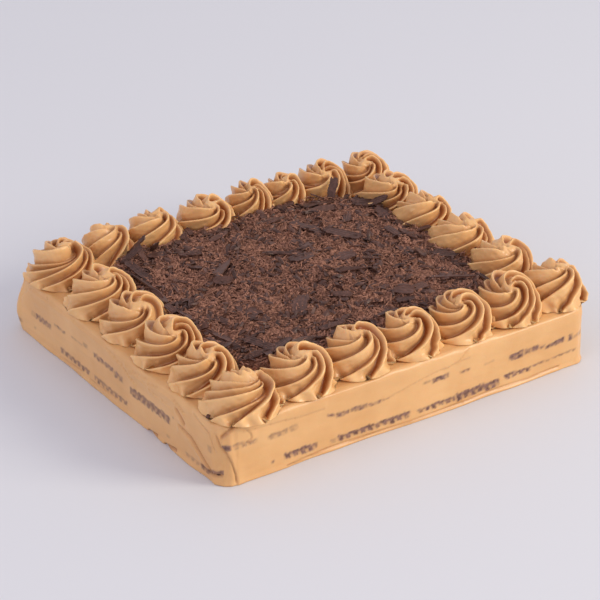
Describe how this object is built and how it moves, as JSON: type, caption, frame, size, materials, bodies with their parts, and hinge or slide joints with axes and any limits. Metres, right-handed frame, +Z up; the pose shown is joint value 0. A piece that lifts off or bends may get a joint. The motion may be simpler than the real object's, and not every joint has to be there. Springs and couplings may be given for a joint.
{
  "type": "icebox cake",
  "caption": "Rectangular no-bake biscuit cake iced in coffee buttercream, with a piped rosette border round a bed of chocolate shavings.",
  "frame": {"origin": "centre of the cake's footprint, on the surface that it stands on", "axes": "+Z up, the long side of the cake along X, the short side along Y; -Y is the front face and -X the left face, the two that the picture shows"},
  "size_m": [0.2334, 0.2082, 0.0556],
  "materials": {
    "buttercream": "smooth satin coffee buttercream, palette-knife marks",
    "biscuit": "matt dark chocolate biscuit, fine crumb",
    "chocolate": "grated and shaved dark chocolate, dull with a few glossy flakes"
  },
  "bodies": {
    "root": {"biscuit_layer_lower": "biscuit", "biscuit_layer_upper": "biscuit", "chocolate_shavings": "chocolate", "cream": "buttercream", "rosette_back_1": "buttercream", "rosette_back_2": "buttercream", "rosette_back_3": "buttercream", "rosette_back_4": "buttercream", "rosette_back_5": "buttercream", "rosette_back_6": "buttercream", "rosette_corner_back_left": "buttercream", "rosette_corner_back_right": "buttercream", "rosette_corner_front_left": "buttercream", "rosette_corner_front_right": "buttercream", "rosette_front_1": "buttercream", "rosette_front_2": "buttercream", "rosette_front_3": "buttercream", "rosette_front_4": "buttercream", "rosette_front_5": "buttercream", "rosette_left_1": "buttercream", "rosette_left_2": "buttercream", "rosette_left_3": "buttercream", "rosette_left_4": "buttercream", "rosette_right_1": "buttercream", "rosette_right_2": "buttercream", "rosette_right_3": "buttercream", "rosette_right_4": "buttercream"}
  },
  "joints": []
}
